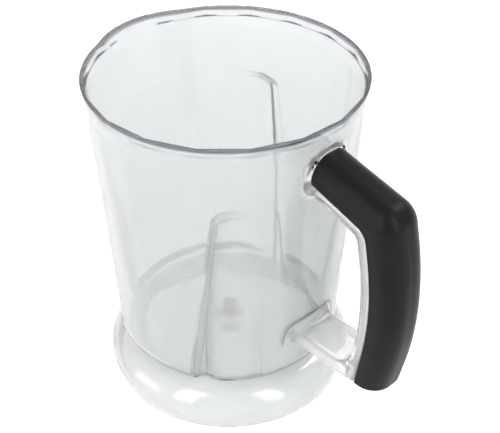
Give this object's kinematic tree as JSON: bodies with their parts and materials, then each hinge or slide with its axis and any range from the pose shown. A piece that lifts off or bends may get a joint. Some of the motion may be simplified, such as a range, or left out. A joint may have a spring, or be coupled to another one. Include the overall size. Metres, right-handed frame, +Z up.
{
  "type": "blender beaker",
  "caption": "Clear moulded blender beaker with a pouring lip, flow-breaker pads, a flared hollow skirt, a steel centre pin and a black-covered side handle",
  "frame": {"origin": "centre of the ring that the beaker stands on, on the cup's axis", "axes": "+Z up along the cup's axis, +X towards the handle, the pouring lip on the -X side"},
  "size_m": [0.1878, 0.134, 0.1715],
  "materials": {
    "clear_plastic": "clear, glossy",
    "black_plastic": "satin black",
    "pin_steel": "turned"
  },
  "bodies": {
    "root": {"beaker": "clear_plastic", "handle_cover": "black_plastic", "centre_pin": "pin_steel"}
  },
  "joints": []
}
